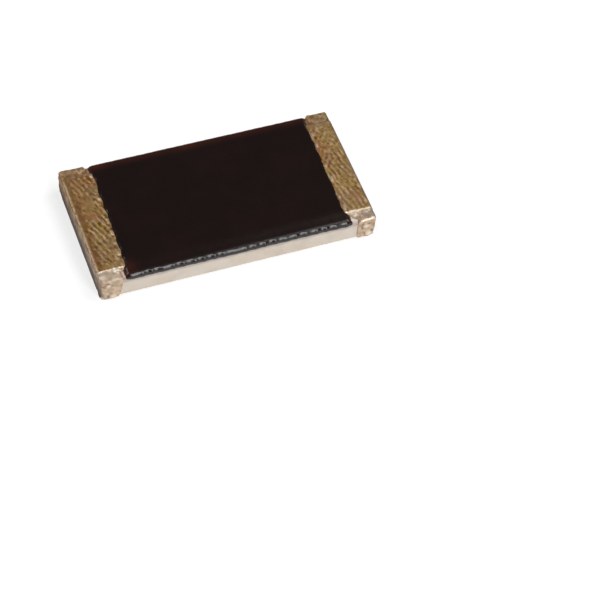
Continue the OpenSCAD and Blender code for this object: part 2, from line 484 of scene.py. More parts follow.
def plateSection():
    # outline of the section, round from the middle of the underside
    look = plateSettings
    radius = look["footRadius"]
    low, high = plateFoot + radius, plateTop - scribeBevel
    bend = np.radians(np.linspace(0.0, 90.0, look["footCells"] + 1))
    half = [(y, plateFoot) for y in np.linspace(0.0, plateSide - radius, look["flatCells"] + 1)[:-1]]
    half += [(plateSide - radius + radius * math.sin(a), low - radius * math.cos(a)) for a in bend]
    half += [(plateSide, z) for z in np.linspace(low, high, look["sideCells"] + 1)[1:]]
    half += [(plateSide - t, high + t) for t in np.linspace(0.0, scribeBevel, look["bevelCells"] + 1)[1:]]
    half += [(y, plateTop) for y in np.linspace(plateSide - scribeBevel, 0.0, look["flatCells"] + 1)[1:]]
    half = np.array(half)
    return np.vstack([half, half[::-1][1:-1] * (-1, 1)])


def scribePlate(x, y, z):
    # how far the long sides are dented, and where the scribe line shows
    look = plateSettings
    side = np.sign(y)
    start, full = look["sideStart"]
    onSide = smoothStep(plateSide - start, plateSide - full, np.abs(y))
    depth = np.clip((plateTop - z) / look["scribeDepth"], 0.0, 1.0)
    slip = np.where(y > 0, look["backSlip"], 0.0)
    pit = np.abs(np.cos(math.pi * (x + slip) / look["scribePitch"])) ** look["pitSharpness"]
    ragged = 1.0 + 0.35 * softNoise(x, side, z * 0.2, 0.35, 3)
    dent = look["pitDepth"] * pit * (1.0 - depth ** 3) * ragged
    # the uneven break under the pits, with nicks at the foot
    broken = smoothStep(0.55, 1.0, depth)
    rough = softNoise(x, side * 2, z, 0.07, 5) + 0.7 * softNoise(x, side * 2, z * 1.6, 0.028, 6)
    dent = dent + look["breakRoughness"] * (rough + 0.9) * (0.35 + 0.65 * broken)
    nick = np.clip(softNoise(x, side * 4, z * 0, 0.16, 9) - 0.28, 0.0, 1.0)
    nearFoot = 1.0 - smoothStep(plateFoot, plateFoot + look["nickHeight"], z)
    dent = dent + look["nickDepth"] * nick * nearFoot
    scribed = onSide * (1.0 - smoothStep(0.72, 1.0, depth + 0.12 * softNoise(x, side, z, 0.3, 8)))
    return dent * onSide, scribed


def stainPlate(x, y, z):
    # the bare patches beside the pads are stained, the back ones most
    look = plateSettings
    deep, shallow = look["stainDepth"]
    beside = smoothStep(*look["stainStart"], np.abs(x)) * smoothStep(plateTop - deep, plateTop - shallow, z)
    front = np.where(x < 0, look["frontStain"][-1], look["frontStain"][1])
    strength = np.where(y > 0, look["backStain"], front)
    return beside * strength * (0.9 + 0.4 * softNoise(x, y, z, 0.09, 10))


def buildPlate(material):
    look = plateSettings
    columns = np.linspace(-plateEnd, plateEnd, int(2 * plateEnd / look["cellLength"]) + 1)
    ring = plateSection()
    x = np.repeat(columns[:, None], len(ring), 1)
    y = np.tile(ring[:, 0], (len(columns), 1))
    z = np.tile(ring[:, 1], (len(columns), 1))
    # round upright corners
    corner = look["cornerRadius"]
    over = np.clip(np.abs(x) - (plateEnd - corner), 0.0, corner)
    reach = plateSide - corner + np.sqrt(corner ** 2 - over ** 2)
    y = np.where(np.abs(y) > plateSide - corner, np.sign(y) * np.minimum(np.abs(y), reach), y)
    dent, scribed = scribePlate(x, y, z)
    y = y - np.sign(y) * dent
    marks = {"scribed": scribed.ravel(), "stained": stainPlate(x, y, z).ravel()}
    points = np.stack([x, y, z], -1).reshape(-1, 3)
    index = np.arange(points.shape[0]).reshape(x.shape)
    faces = list(gridFaces(np.hstack([index, index[:, :1]])))
    faces.append(index[0])
    faces.append(index[-1][::-1])
    makePiece("ceramicPlate", points, faces, marks, material, "ceramic_substrate")


buildPlate(makeAlumina())


# black coat: a rolled lip over each scribed edge, thin sloping ends that flare on the bare margins

coatSettings = {
    "reach": 2.568,         # half length at the foot of its ends
    "slope": 0.1,           # run of the sloping ends
    "slopeCells": 11,
    "besideSlope": (0.08, 4),   # length and cells of a short run beside the slope
    "middleCells": 245,
    "lipCells": 6,
    "rollCells": 14,
    "flatCells": 39,
    # further spread on the bare ceramic, at each corner, and where it starts outside the pads
    "flare": {(-1, -1): 0.036, (-1, 1): 0.006, (1, -1): 0.06, (1, 1): 0.004},
    "flareStart": (-0.1, 0.03),
    "stretchFrom": 0.6,     # the ends' own shape fades out by here
    "ragged": 0.03,
    "rollRadius": 0.105,
    "lipDrop": 0.03,        # how far the lip hangs below the solid one
    "lipPull": 0.06,        # how far its foot draws back at the ends
    "lipStand": 0.003,      # how far the lip stands off the side at a pit
    "lipScallop": 0.014,    # and more between pits
    "backScallop": 0.4,     # share of that on the back lip
    "backSlip": 0.06,       # the back scallops lie this much further along
    "lipPitch": 0.235,
    "lipWave": 0.008,
    "lipHeight": 0.06,      # the lip waves only this near its foot
    "lipTuck": (-0.003, 0.004),     # the lip's foot starts just inside the plate
    # rounded foot of the lip: out as a share of its stand, and up
    "lipHem": ((0.2, 0.0), (0.65, 0.003), (1.0, 0.012)),
    "droop": 0.026,         # fall of the top towards the lips
    "droopRun": (0.4, 0.02),
    "peel": 0.0022,
    # room left under the coat, above the plate
    "overGlassAndPad": 0.0485,
    "overGlass": 0.0285,
    "overPad": 0.021,
    "overPlate": 0.0005,
    # red-brown where the coat is thin: thickness, then how strong at the edges
    "thinBelow": (0.01, 0.045),
    "backThin": 0.48,
    "frontThin": 0.3,
    "cornerThin": (0.3, -2.47, 0.16, -1.4, 0.2),    # strength, then place and size along and across
    "insideThin": 0.2,
}


def coatSection():
    # from the front lip's foot, over the top, to the back lip's foot
    look = coatSettings
    top, foot = coatHigh.z, coatLow.z - look["lipDrop"]
    radius = look["rollRadius"]
    stand = look["lipStand"] + look["lipScallop"]
    rollStart = plateSide + stand - radius
    tuckOut, tuckUp = look["lipTuck"]
    hemTop = foot + look["lipHem"][-1][1]
    half = [(plateSide + tuckOut, foot + tuckUp)]
    half += [(plateSide + out * stand, foot + up) for out, up in look["lipHem"]]
    half += [(plateSide + stand, z) for z in np.linspace(hemTop, top - radius, look["lipCells"] + 1)[1:]]
    half += [(rollStart + radius * math.cos(a), top - radius + radius * math.sin(a))
             for a in np.linspace(0.0, math.pi / 2, look["rollCells"] + 1)[1:]]
    half += [(y, top) for y in np.linspace(rollStart, 0.0, look["flatCells"] + 1)[1:]]
    half = np.array(half)
    section = np.vstack([half * (-1, 1), half[::-1][1:]])
    return section[:, 0], section[:, 1], foot, rollStart


def coatEnd(side, secY, secZ, foot):
    # how far the coat reaches at one end, along its section
    look = coatSettings
    wobble = softNoise(secY, side, 0.0, 0.22, 12) + 0.6 * softNoise(secY, side, 0.0, 0.07, 13)
    start, full = look["flareStart"]
    flare = np.where(secY > 0, look["flare"][side, 1], look["flare"][side, -1])
    flare = flare * smoothStep(padFoot + start, padFoot + full, np.abs(secY))
    down = np.clip((coatHigh.z - secZ) / (coatHigh.z - foot), 0.0, 1.0)
    ragged = look["ragged"] * wobble
    return look["reach"] + ragged + flare + coatShift(side, secY) - look["lipPull"] * down ** 2


def coatColumns(ends):
    # columns from end to end, close together on the sloping ends, each row stretched to its own ends
    look = coatSettings
    reach = look["reach"]
    endRun = steps((look["slope"], look["slopeCells"]), look["besideSlope"])
    middle = np.linspace(endRun[-1], 2 * reach - endRun[-1], look["middleCells"] + 1)[1:-1]
    along = np.concatenate([endRun, middle, 2 * reach - endRun[::-1]]) - reach
    x = along[:, None]
    for side in (-1, 1):
        stretch = smoothStep(look["stretchFrom"], reach, side * along)[:, None]
        x = x + side * stretch * (ends[side] - reach)
    return x


def waveLips(x, y, z, foot, onLip, wave):
    # scalloped, wavy lips, and a top that falls a little towards them
    look = coatSettings
    side = np.sign(y)
    slip = np.where(y > 0, look["backSlip"], 0.0)
    uneven = 0.05 * softNoise(x, side, 3.0, 0.35, 24)
    scallop = np.abs(np.cos(math.pi * (x + slip + uneven) / look["lipPitch"])) ** 1.2
    scallop = scallop * np.clip(0.8 + 0.9 * softNoise(x, side, 5.0, 0.4, 25), 0.2, 1.3)
    depth = np.where(y > 0, look["backScallop"], 1.0) * look["lipScallop"]
    y = y - side * onLip * depth * (scallop + 0.35 * wave)
    lowLip = 1.0 - smoothStep(foot, foot + look["lipHeight"], z)
    z = z + look["lipWave"] * lowLip * (0.25 + softNoise(x, side, 0.0, 0.3, 22) - 0.5 * scallop)
    z = z - look["peel"] * (0.9 + softNoise(x, y, 0.0, 0.75, 23)) * (1.0 - lowLip)
    start, full = look["droopRun"]
    fall = smoothStep(plateSide - start, plateSide - full, np.abs(y))
    return y, z - look["droop"] * fall * (1.0 - lowLip)


def roomUnder(x, y):
    # height of the layers that lie under the coat
    look = coatSettings
    margin, padMargin = 0.01, 0.03
    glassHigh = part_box("glass_undercoat")[1] / mm
    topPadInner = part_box("top_pad_right")[0].x / mm
    overGlass = (np.abs(x) < glassHigh.x + margin) & (np.abs(y) < glassHigh.y + margin)
    overPad = (np.abs(x) > topPadInner - margin) & (np.abs(y) < padFoot - padMargin)
    return np.where(overGlass, np.where(overPad, look["overGlassAndPad"], look["overGlass"]),
                    np.where(overPad, look["overPad"], look["overPlate"]))


def thinCoat(x, y, thick, height, onLip, rollStart, wave):
    # red-brown where the coat thins out
    look = coatSettings
    thin = (1.0 - smoothStep(*look["thinBelow"], thick)) * (1.0 - onLip)
    backEdge = smoothStep(rollStart - 0.2, plateSide - 0.04, y)
    frontEdge = smoothStep(rollStart - 0.02, plateSide, -y) * (1.0 - smoothStep(0.35, 0.95, height))
    strength, along, length, across, width = look["cornerThin"]
    corner = bell(x, along, length) * bell(y, across, width)
    thin = thin + look["backThin"] * backEdge * (0.8 + 0.8 * wave)
    return np.clip(thin + look["frontThin"] * frontEdge + strength * corner, 0.0, 1.0)


def buildCoat(material):
    look = coatSettings
    secY, secZ, foot, rollStart = coatSection()
    ends = {side: coatEnd(side, secY, secZ, foot) for side in (-1, 1)}
    x = coatColumns(ends)
    y = np.tile(secY, (len(x), 1))
    z = np.tile(secZ, (len(x), 1))
    onLip = smoothStep(rollStart + 0.25 * look["rollRadius"], plateSide, np.abs(y))
    wave = softNoise(x, np.sign(y), 0.0, 0.5, 21)
    y, z = waveLips(x, y, z, foot, onLip, wave)
    # the ends slope down to the plate
    fromEnd = np.minimum(x + ends[-1], ends[1] - x) / look["slope"]
    height = np.sin(np.clip(fromEnd, 0.0, 1.0) * math.pi / 2)
    restY, restZ = ontoPlate(y, z)
    restY[:, 0], restY[:, -1] = y[:, 0], y[:, -1]
    outerY = restY + height * (y - restY)
    outerZ = restZ + height * (z - restZ)
    thick = np.hypot(outerY - restY, outerZ - restZ)
    # underside: on the plate, and over the layers under the coat
    lift = np.minimum(roomUnder(x, y), 0.8 * thick)
    share = np.where(thick > tiny, lift / np.maximum(thick, tiny), 0.0)
    innerY = restY + share * (outerY - restY)
    innerZ = restZ + share * (outerZ - restZ)
    outer = np.stack([x, outerY, outerZ], -1).reshape(-1, 3)
    inner = np.stack([x, innerY, innerZ], -1)[1:-1, 1:-1]
    innerCount = inner.shape[0] * inner.shape[1]
    outerIndex = np.arange(len(outer)).reshape(x.shape)
    innerIndex = outerIndex.copy()
    innerIndex[1:-1, 1:-1] = len(outer) + np.arange(innerCount).reshape(inner.shape[:2])
    points = np.vstack([outer, inner.reshape(-1, 3)])
    faces = np.vstack([gridFaces(outerIndex), gridFaces(innerIndex, flip=True)])
    thin = thinCoat(x, y, thick, height, onLip, rollStart, wave)
    thinness = np.concatenate([thin.ravel(), np.full(innerCount, look["insideThin"])])
    makePiece("blackCoat", points, faces, {"thinness": thinness}, material, "black_overcoat")


buildCoat(makeOvercoat())


# terminations: plated skins over the pads, the end face and the four corners

skinSettings = {
    # lengths and cells in from each long side, and the cells between
    "acrossCells": ((0.064, 9), (0.166, 12), (0.16, 20)),
    "middleCells": 190,
    # the same as shares, from the rim to the end face and from the foot to the top
    "alongCells": ((0.18, 11), (0.72, 33), (0.1, 9)),
    "wallCells": ((0.1, 10), (0.8, 24), (0.1, 10)),
    "insideShares": (0.0, 0.12, 0.5, 0.86, 0.93, 1.0),
    "edgeRadius": 0.056,
    "cornerRadius": 0.058,
    "footRound": 0.05,          # rounder upright corners below, between these heights
    "footRoundFade": (0.05, 0.4),
    "skin": 0.0095,             # thickness of the outer finish
    "padRim": 2.502,            # inner end of the top pad's plating, just under the coat
    "solderRim": 2.53,          # inner end of the underside pad
    "padRagged": {"top": 0.002, "foot": 0.016},
    "wrapRim": 2.764,           # inner edge of the band round the corners
    "wrapRagged": 0.012,
    "padToBand": (-0.02, 0.055),    # the rim changes from pad to band here, past the pad's foot
    "rimFall": 0.05,            # run of the rim down to the ceramic
    "solderFall": 0.075,        # and more of it on the underside pads
    # how far the band bulges along the front and back sides, by end
    "tongue": {-1: (0.03, 0.02), 1: (0.012, 0.03)},
    # how far it runs towards the coat on the top, front and back, by end
    "topReach": {-1: (0.105, 0.185), 1: (0.11, 0.085)},
    "reachFade": {-1: 0.0, 1: 1.0},     # whether the front reach ends short of the front side
    "reachEnd": (1.45, 1.58),
    # woven ridges of the pads: two families each, their angles, strengths and lean towards the front
    "weavePitch": 0.114,
    "weaveHeight": 0.0052,
    "weaveSink": {"top": 0.0, "foot": 0.9},
    "weaveAngle": {("top", -1): (20.0, -30.0), ("top", 1): (14.0, -32.0),
                   ("foot", -1): (63.0, -27.0), ("foot", 1): (63.0, -27.0)},
    "weaveShare": {-1: (0.85, 0.30), 1: (0.95, 0.5)},
    "weaveLean": {-1: (0.0, 0.0), 1: (0.45, -0.4)},
    # heights and sizes of the smaller unevenness
    "lump": 0.0024,
    "lumpSize": 0.24,
    "grain": 0.0018,
    "grainSize": 0.05,
    "gritSize": 0.042,
    "gritStretch": 0.4,
    "blob": 0.018,              # lumps of the dipped band
    "blobSize": 0.13,
    "deepest": -0.0075,
    "quietRim": 0.09,           # the unevenness fades out this near the rim
    # drops on the front of the band: distance along, height, radius and rise
    "drops": {-1: ((2.90, 0.13, 0.10, 0.02), (3.0, 0.5, 0.07, 0.012)),
              1: ((2.93, 0.43, 0.09, 0.018), (3.03, 0.15, 0.10, 0.018))},
    "dropRing": (1.1, 0.22, 0.65),      # darker ring round a drop: radius, width and strength
    # drops on the top of the front bands, beside the coat: place, radius, rise and how matt
    "headDrop": {-1: (2.745, -1.365, 0.066, 0.022, 0.0), 1: (2.72, -1.4, 0.115, 0.010, 0.8)},
    # beads along the edge of the coat: rise, distance from the rim, width and size
    "bead": 0.012,
    "beadLap": (0.064, 0.026),
    "beadSize": 0.14,
    # tarnish, darkening, painted highlights and loss of shine, by end
    "padTone": {-1: 0.0, 1: 0.1},
    "tarnishReach": {-1: (0.12, 0.27), 1: (0.03, 0.09)},
    "grime": {-1: 0.88, 1: 0.35},       # on the lower part of the end faces
    "grimeFade": ((0.62, 0.22, 0.38), (0.38, 0.42, 0.62)),  # it thins out in two steps of height
    "endTarnish": {-1: 0.95, 1: 0.35},  # browned patches on the end faces
    "edgeSpot": {-1: 1.0, 1: 0.5},      # brown spots on the front upright edges
    "edgeSpotPlace": (3.1, 0.06, 0.5, 0.13),    # along and up, each with its size
    "cornerStain": {-1: 1.0, 1: 0.3},   # on the back corners
    "cornerStainPlace": (2.97, 1.38, 0.2),
    # painted shade along the outer edge of the right pad
    "edgeGrime": {-1: 0.0, 1: 0.95},    # along the outer edge of the pads
    "edgeWorn": {-1: 0.42, 1: 0.0},     # painted highlight along the same edge
    "edgeWornPlace": (0.03, 0.036),
    "bandMatt": {-1: 0.55, 1: 0.0},     # the front left band has lost its shine
    "mattStart": (-1.38, -1.46),
    "bevelWorn": 0.9,           # the fall of the pads, then the strip of band under it
    "stripWorn": (0.75, 0.02, 0.032),
    "mostWorn": 0.9,
}
skinMarks = ("relief", "border", "pale", "bare", "grimed", "worn", "matt")


def skinStations():
    # across the skin and up its wall
    look = skinSettings
    edges = look["acrossCells"]
    middle = 2 * (skinHalf - sum(length for length, cells in edges))
    across = steps(*edges, (middle, look["middleCells"]), *edges[::-1]) - skinHalf
    return across, steps(*look["wallCells"])


acrossRuns, wallRuns = skinStations()


def padHump(y):
    return 1.0 - smoothStep(*padRound, np.abs(y))


def rimLine(where, side, seed):
    # inner edge of the skin, in x, on the top or on the underside
    look = skinSettings
    y, away = acrossRuns, np.abs(acrossRuns)
    band = look["wrapRim"] - look["wrapRagged"] * (1.0 + softNoise(y, seed, 0.0, 0.12, 31))
    pad = look["solderRim"]
    if where == "top":
        front, back = look["topReach"][side]
        front = front * (1.0 - look["reachFade"][side] * smoothStep(*look["reachEnd"], away))
        band = band - np.where(y < 0, front, back)
        pad = look["padRim"] + coatShift(side, y)
    rough = 1.0 + softNoise(y, seed, 1.0, 0.09, 32) + 0.8 * softNoise(y, seed, 1.0, 0.035, 33)
    inner = pad - look["padRagged"][where] * rough
    start, full = look["padToBand"]
    return inner + (band - inner) * smoothStep(padFoot + start, padFoot + full, away)


def weave(x, y, where, side, seed):
    # two families of ridges, each strong in some patches and gone in others
    look = skinSettings
    height = np.zeros_like(x)
    families = zip(look["weaveAngle"][where, side], look["weaveShare"][side], look["weaveLean"][side])
    for i, (angle, share, lean) in enumerate(families):
        turn = math.radians(angle)
        drift = 0.35 * softNoise(x, y, i, 0.45, seed + 41) + 0.16 * softNoise(x, y, i, 0.12, seed + 45)
        phase = (x * math.cos(turn) + y * math.sin(turn)) / look["weavePitch"] + drift
        patchy = 0.65 - lean * y / padFoot + 1.4 * softNoise(x, y, 4.0 + 3.0 * i, 0.42, seed + 43)
        strength = np.clip(patchy, 0.1, 1.2)
        height = height + share * strength * (1.0 - 2.0 * np.abs(np.sin(math.pi * phase)) ** 1.2)
    return height


def skinGrids(side, seed, gap, spread):
    # top, underside and wall of one surface of the skin, with the distance of each spot from its rim
    look = skinSettings
    xEnd, n = plateEnd + gap, len(spread)
    yLine = acrossRuns * (plateSide + gap) / skinHalf
    hump = padRise * padHump(acrossRuns)
    zHigh, zLow = plateTop + gap + hump, plateFoot - gap - hump
    topRim, footRim = rimLine("top", side, seed), rimLine("foot", side, seed + 5)
    grids = []
    for where, rim, level in (("top", topRim, zHigh), ("foot", footRim, zLow)):
        x = rim + spread[:, None] * (xEnd - rim)
        bend = np.gradient(rim, acrossRuns)
        off = (x - rim) / np.sqrt(1.0 + bend ** 2)
        grids.append((where, x, np.tile(yLine, (n, 1)), np.tile(level, (n, 1)), off))
    # the wall runs along the front side, round the end and back along the back side
    bulge = 1.0 + 0.5 * softNoise(wallRuns, seed, 0.0, 0.3, 35)
    bulge = (1.0 - (2.0 * wallRuns - 1.0) ** 4) * bulge
    sides = []
    for corner, reach in zip((0, -1), look["tongue"][side]):
        rim = topRim[corner] + (footRim[corner] - topRim[corner]) * (1.0 - wallRuns) - reach * bulge
        sides.append((rim + spread[:, None] * (xEnd - rim), spread[:, None] * (xEnd - rim)))
    (frontX, frontOff), (backX, backOff) = sides
    end = np.ones((len(yLine) - 1, len(wallRuns)))
    x = np.vstack([frontX, end * xEnd, backX[-2::-1]])
    off = np.vstack([frontOff, end, backOff[-2::-1]])
    last = len(yLine) - 1
    station = np.concatenate([np.zeros(n, int), np.arange(1, last + 1), np.full(n - 1, last)])
    y = np.repeat(yLine[station][:, None], len(wallRuns), 1)
    z = zLow[station][:, None] + wallRuns * (zHigh - zLow)[station][:, None]
    grids.append(("wall", x, y, z, off))
    return grids


def roundCorners(x, y, z, xEnd, ySide, inset):
    # the upright corners rounded in plan, more towards the foot, with the way out and how far it is
    look = skinSettings
    low = 1.0 - smoothStep(*look["footRoundFade"], z)
    radius = look["cornerRadius"] - inset + look["footRound"] * low
    midX, midY = xEnd - radius, ySide - radius
    u = np.clip((x - midX) / radius, 0.0, 1.0)
    v = np.clip((np.abs(y) - midY) / radius, 0.0, 1.0)
    px = np.where(u > 0, midX + radius * u * np.sqrt(1 - v * v / 2), x)
    py = np.where(v > 0, midY + radius * v * np.sqrt(1 - u * u / 2), np.abs(y))
    cornerX, cornerY = px - midX, py - midY
    inCorner = (cornerX > 0) & (cornerY > 0)
    spoke = np.maximum(np.hypot(cornerX, cornerY), tiny)
    inside = np.where(inCorner, radius - spoke, np.minimum(xEnd - px, ySide - py))
    atEnd = xEnd - px < ySide - py
    outX = np.where(inCorner, cornerX / spoke, np.where(atEnd, 1.0, 0.0))
    outY = np.where(inCorner, cornerY / spoke, np.where(atEnd, 0.0, 1.0))
    return px, py, outX, outY, inside


def roundSheet(where, x, y, z, off, gap):
    # one grid with its corners, edges and rim rounded, and its plain marks
    look = skinSettings
    inset = skinGrow - gap
    xEnd, ySide = plateEnd + gap, plateSide + gap
    hump = padHump(y * skinHalf / ySide)
    zHigh, zLow = plateTop + gap + padRise * hump, plateFoot - gap - padRise * hump
    px, py, outX, outY, inside = roundCorners(x, y, z, xEnd, ySide, inset)
    # round the top and the bottom edges
    radius = look["edgeRadius"] - inset
    h = np.clip((radius - inside) / radius, 0.0, 1.0)
    v = np.full_like(h, 1.0 if where == "top" else -1.0)
    if where == "wall":
        v = np.clip((z - zHigh + radius) / radius, 0.0, 1.0)
        v = v - np.clip((zLow + radius - z) / radius, 0.0, 1.0)
    across, upward = h * np.sqrt(1 - v * v / 2), v * np.sqrt(1 - h * h / 2)
    shift = np.where(h > 0, inside - radius * (1.0 - across), 0.0)
    px = px + outX * shift
    py = np.sign(y) * (py + outY * shift)
    bent = np.where(v > 0, zHigh - radius, zLow + radius) + radius * upward
    pz = np.where(v == 0, z, bent)
    normal = np.stack([outX * across, np.sign(y) * outY * across, upward], -1)
    normal = normal / np.maximum(np.linalg.norm(normal, axis=-1, keepdims=True), tiny)
    # the rim comes down to the ceramic, except where the coat lies on it
    fall = look["rimFall"] + (look["solderFall"] * hump if where == "foot" else 0.0)
    rise = np.sin(np.clip(off / fall, 0.0, 1.0) * math.pi / 2)
    if where == "top":
        rise = rise + (1.0 - rise) * smoothStep(0.25, 0.6, hump)
    restY, restZ = ontoPlate(py, pz)
    py, pz = restY + rise * (py - restY), restZ + rise * (pz - restZ)
    sheet = SimpleNamespace(where=where, x=px, y=py, z=pz, gridY=y, off=off, hump=hump, normal=normal,
                            outX=outX, fromEnd=xEnd - px, upperEdge=h * np.clip(v, 0.0, 1.0))
    for mark in skinMarks:
        setattr(sheet, mark, np.zeros_like(px))
    sheet.relief = sheet.relief + 0.5
    # the band's finish, paler towards the front as a painted sheen of the light from the front
    band = np.ones_like(px) if where == "wall" else 1.0 - smoothStep(0.35, 0.95, hump)
    sheet.bare = band * (0.15 + (0.7 if where == "wall" else 0.8) * smoothStep(1.2, -1.2, y))
    return sheet


def roughenSheet(sheet, side, seed):
    # lumps, blobs and grain all over
    look = skinSettings
    spot = (sheet.x, sheet.y, sheet.z)
    sheet.lumps = softNoise(*spot, look["lumpSize"], seed + 51)
    sheet.fine = softNoise(*spot, look["grainSize"], seed + 52)
    sheet.blobs = softNoise(*spot, look["blobSize"], seed + 54)
    turn, stretch = math.radians(look["weaveAngle"]["top", side][0]), look["gritStretch"]
    across = side * sheet.x * math.cos(turn) + sheet.y * math.sin(turn)
    along = sheet.y * math.cos(turn) - side * sheet.x * math.sin(turn)
    sheet.grit = softNoise(across, stretch * along, stretch * sheet.z, look["gritSize"], seed + 55)
    offPad = 1.0 - smoothStep(0.2, 0.7, sheet.hump)
    sheet.push = look["lump"] * (sheet.lumps - 0.9) + look["grain"] * (sheet.fine - 0.5)
    sheet.push = sheet.push + look["blob"] * offPad * (sheet.blobs - 0.15)
    # what is rubbed most, towards the front
    # painted highlight patches, strongest towards the front where the front lamp falls
    sheet.toFront = 0.2 + 0.8 * smoothStep(0.6, -0.6, sheet.gridY)
    sheet.rubbed = np.clip(0.8 + 2.0 * sheet.blobs + 0.8 * sheet.fine, 0.0, 1.0) * sheet.toFront
    sheet.onPad = smoothStep(0.5, 0.9, sheet.hump)
    sheet.onBand = 1.0 - smoothStep(0.1, 0.5, sheet.hump)


def dressPad(sheet, side, seed):
    # woven print, tarnished towards the outer edge
    look = skinSettings
    flat = smoothStep(0.75, 1.0, sheet.hump) * smoothStep(0.03, 0.13, sheet.fromEnd)
    woven = weave(side * sheet.x, sheet.y, sheet.where, side, seed)
    sheet.push = sheet.push + look["weaveHeight"] * flat * (woven - look["weaveSink"][sheet.where])
    uneven = flat * 0.40 * woven + 0.65 * sheet.grit + 0.4 * sheet.fine
    sheet.relief = 0.5 + look["padTone"][side] + uneven
    ragged = sheet.fromEnd + 0.07 * sheet.lumps + 0.04 * sheet.fine
    tarnish = 1.0 - smoothStep(*look["tarnishReach"][side], ragged)
    sheet.border = tarnish * sheet.onPad * smoothStep(0.03, 0.08, sheet.fromEnd + 0.03 * sheet.fine)


def dressTop(sheet, side, seed):
    look = skinSettings
    matt = look["bandMatt"][side]
    # beads where the plating meets the coat, with painted glints on them
    away, width = look["beadLap"]
    knots = smoothStep(0.10, 0.28, softNoise(sheet.y, seed, 0.0, look["beadSize"], seed + 53))
    beads = knots * bell(sheet.x, look["padRim"] + coatShift(side, sheet.gridY) + away, width)
    sheet.push = sheet.push + look["bead"] * beads * sheet.onPad
    sheet.relief = sheet.relief + 0.5 * beads
    sheet.bare = np.maximum(sheet.bare, 0.85 * beads)
    # a drop on the front band, beside the coat, with a painted highlight on its head
    along, across, size, rise, dim = look["headDrop"][side]
    head = np.exp(-(np.hypot(sheet.x - along, sheet.y - across) / size) ** 4)
    sheet.push = sheet.push + rise * head
    sheet.matt = np.maximum(matt * sheet.onBand * smoothStep(*look["mattStart"], sheet.gridY), dim * head)
    # painted highlights: on the fall of the pad, the strip under it, patches of the band and the outer edge
    strip, below, width = look["stripWorn"]
    bevel = bell(sheet.hump, 0.45, 0.4) * smoothStep(0.02, 0.98, 1.0 - sheet.hump)
    under = bell(np.abs(sheet.gridY), padRound[1] + below, width)
    patchy = 0.6 * (1.0 - matt) * smoothStep(0.05, 0.35, sheet.blobs) + 0.45 * matt
    edge = bell(sheet.fromEnd, *look["edgeWornPlace"]) * sheet.onPad
    edge = edge * np.clip(0.8 + 1.2 * sheet.blobs + sheet.fine, 0.2, 1.0)
    sheet.worn = np.maximum.reduce([
        look["bevelWorn"] * sheet.rubbed * bevel, strip * sheet.rubbed * under,
        sheet.toFront * sheet.onBand * patchy, 0.9 * head, 0.4 * beads, look["edgeWorn"][side] * edge])
    # browned band, stained back corner, and painted shade along the outer edge
    browned = smoothStep(0.0, -0.3, sheet.blobs + 0.4 * sheet.fine)
    browned = browned * np.where(sheet.gridY < 0, 0.6 * (1.0 - matt), 0.95)
    along, across, size = look["cornerStainPlace"]
    corner = bell(sheet.x, along, size) * bell(sheet.gridY, across, size)
    stain = look["cornerStain"][side] * corner * np.clip(0.55 + 1.6 * sheet.fine + sheet.blobs, 0.0, 1.0)
    sheet.border = np.maximum.reduce([sheet.border, sheet.onBand * browned, stain])
    sheet.grimed = look["edgeGrime"][side] * (1.0 - smoothStep(0.02, 0.07, sheet.fromEnd))


def dressFoot(sheet):
    # dull pads that have met solder, brown at their rim, partly tarnish and partly painted shade, with
    # painted highlight patches on the bands
    sheet.pale = smoothStep(0.0, 0.12, sheet.off)
    rim = 1.0 - smoothStep(0.02, 0.075, sheet.off + 0.04 * sheet.fine)
    sheet.border = np.maximum(sheet.border, 0.9 * sheet.hump * rim)
    sheet.worn = 0.6 * sheet.onBand * smoothStep(0.05, 0.3, sheet.blobs)


def dressWall(sheet, side):
    look = skinSettings
    # darker lower part of the end face, and its tarnish
    ragged = sheet.z + 0.16 * sheet.lumps + 0.1 * sheet.fine + 0.08 * sheet.blobs
    film = 1.0 - sum(share * smoothStep(low, high, ragged) for share, low, high in look["grimeFade"])
    sheet.grimed = look["grime"][side] * sheet.outX * film
    patches = np.clip(0.7 + 1.2 * sheet.blobs + 0.8 * sheet.lumps, 0.0, 1.0)
    sheet.border = look["endTarnish"][side] * sheet.outX * patches
    # drops on the front, each with a darker ring round it and a painted highlight on its head
    onFront = np.where(sheet.gridY < 0, np.sqrt(np.maximum(1.0 - sheet.outX, 0.0)), 0.0)
    ringRadius, ringWidth, ringDirt = look["dropRing"]
    broken = ringDirt * onFront * smoothStep(-0.25, 0.2, sheet.blobs + 0.3 * sheet.lumps)
    for along, height, size, rise in look["drops"][side]:
        away = np.hypot(sheet.x - along, sheet.z - height) / size
        ring = bell(away, ringRadius + 0.5 * sheet.fine, ringWidth)
        sheet.push = sheet.push + rise * np.exp(-away ** 4) * onFront
        sheet.grimed = np.maximum(sheet.grimed, ring * broken)
        sheet.worn = np.maximum(sheet.worn, 0.7 * bell(away, 0.0, 0.75) * onFront)
    # brown spots on the upright edge, and the loss of shine
    along, length, height, depth = look["edgeSpotPlace"]
    spots = bell(sheet.x, along, length) * bell(sheet.z, height, depth) * (sheet.gridY < 0)
    spots = look["edgeSpot"][side] * spots * np.clip(0.7 + 2.0 * sheet.fine, 0.0, 1.0)
    sheet.border = np.maximum(sheet.border, spots)
    sheet.matt = look["bandMatt"][side] * onFront
    # a painted sheen where the band is matt
    sheet.worn = np.maximum(sheet.worn, 0.35 * sheet.matt)


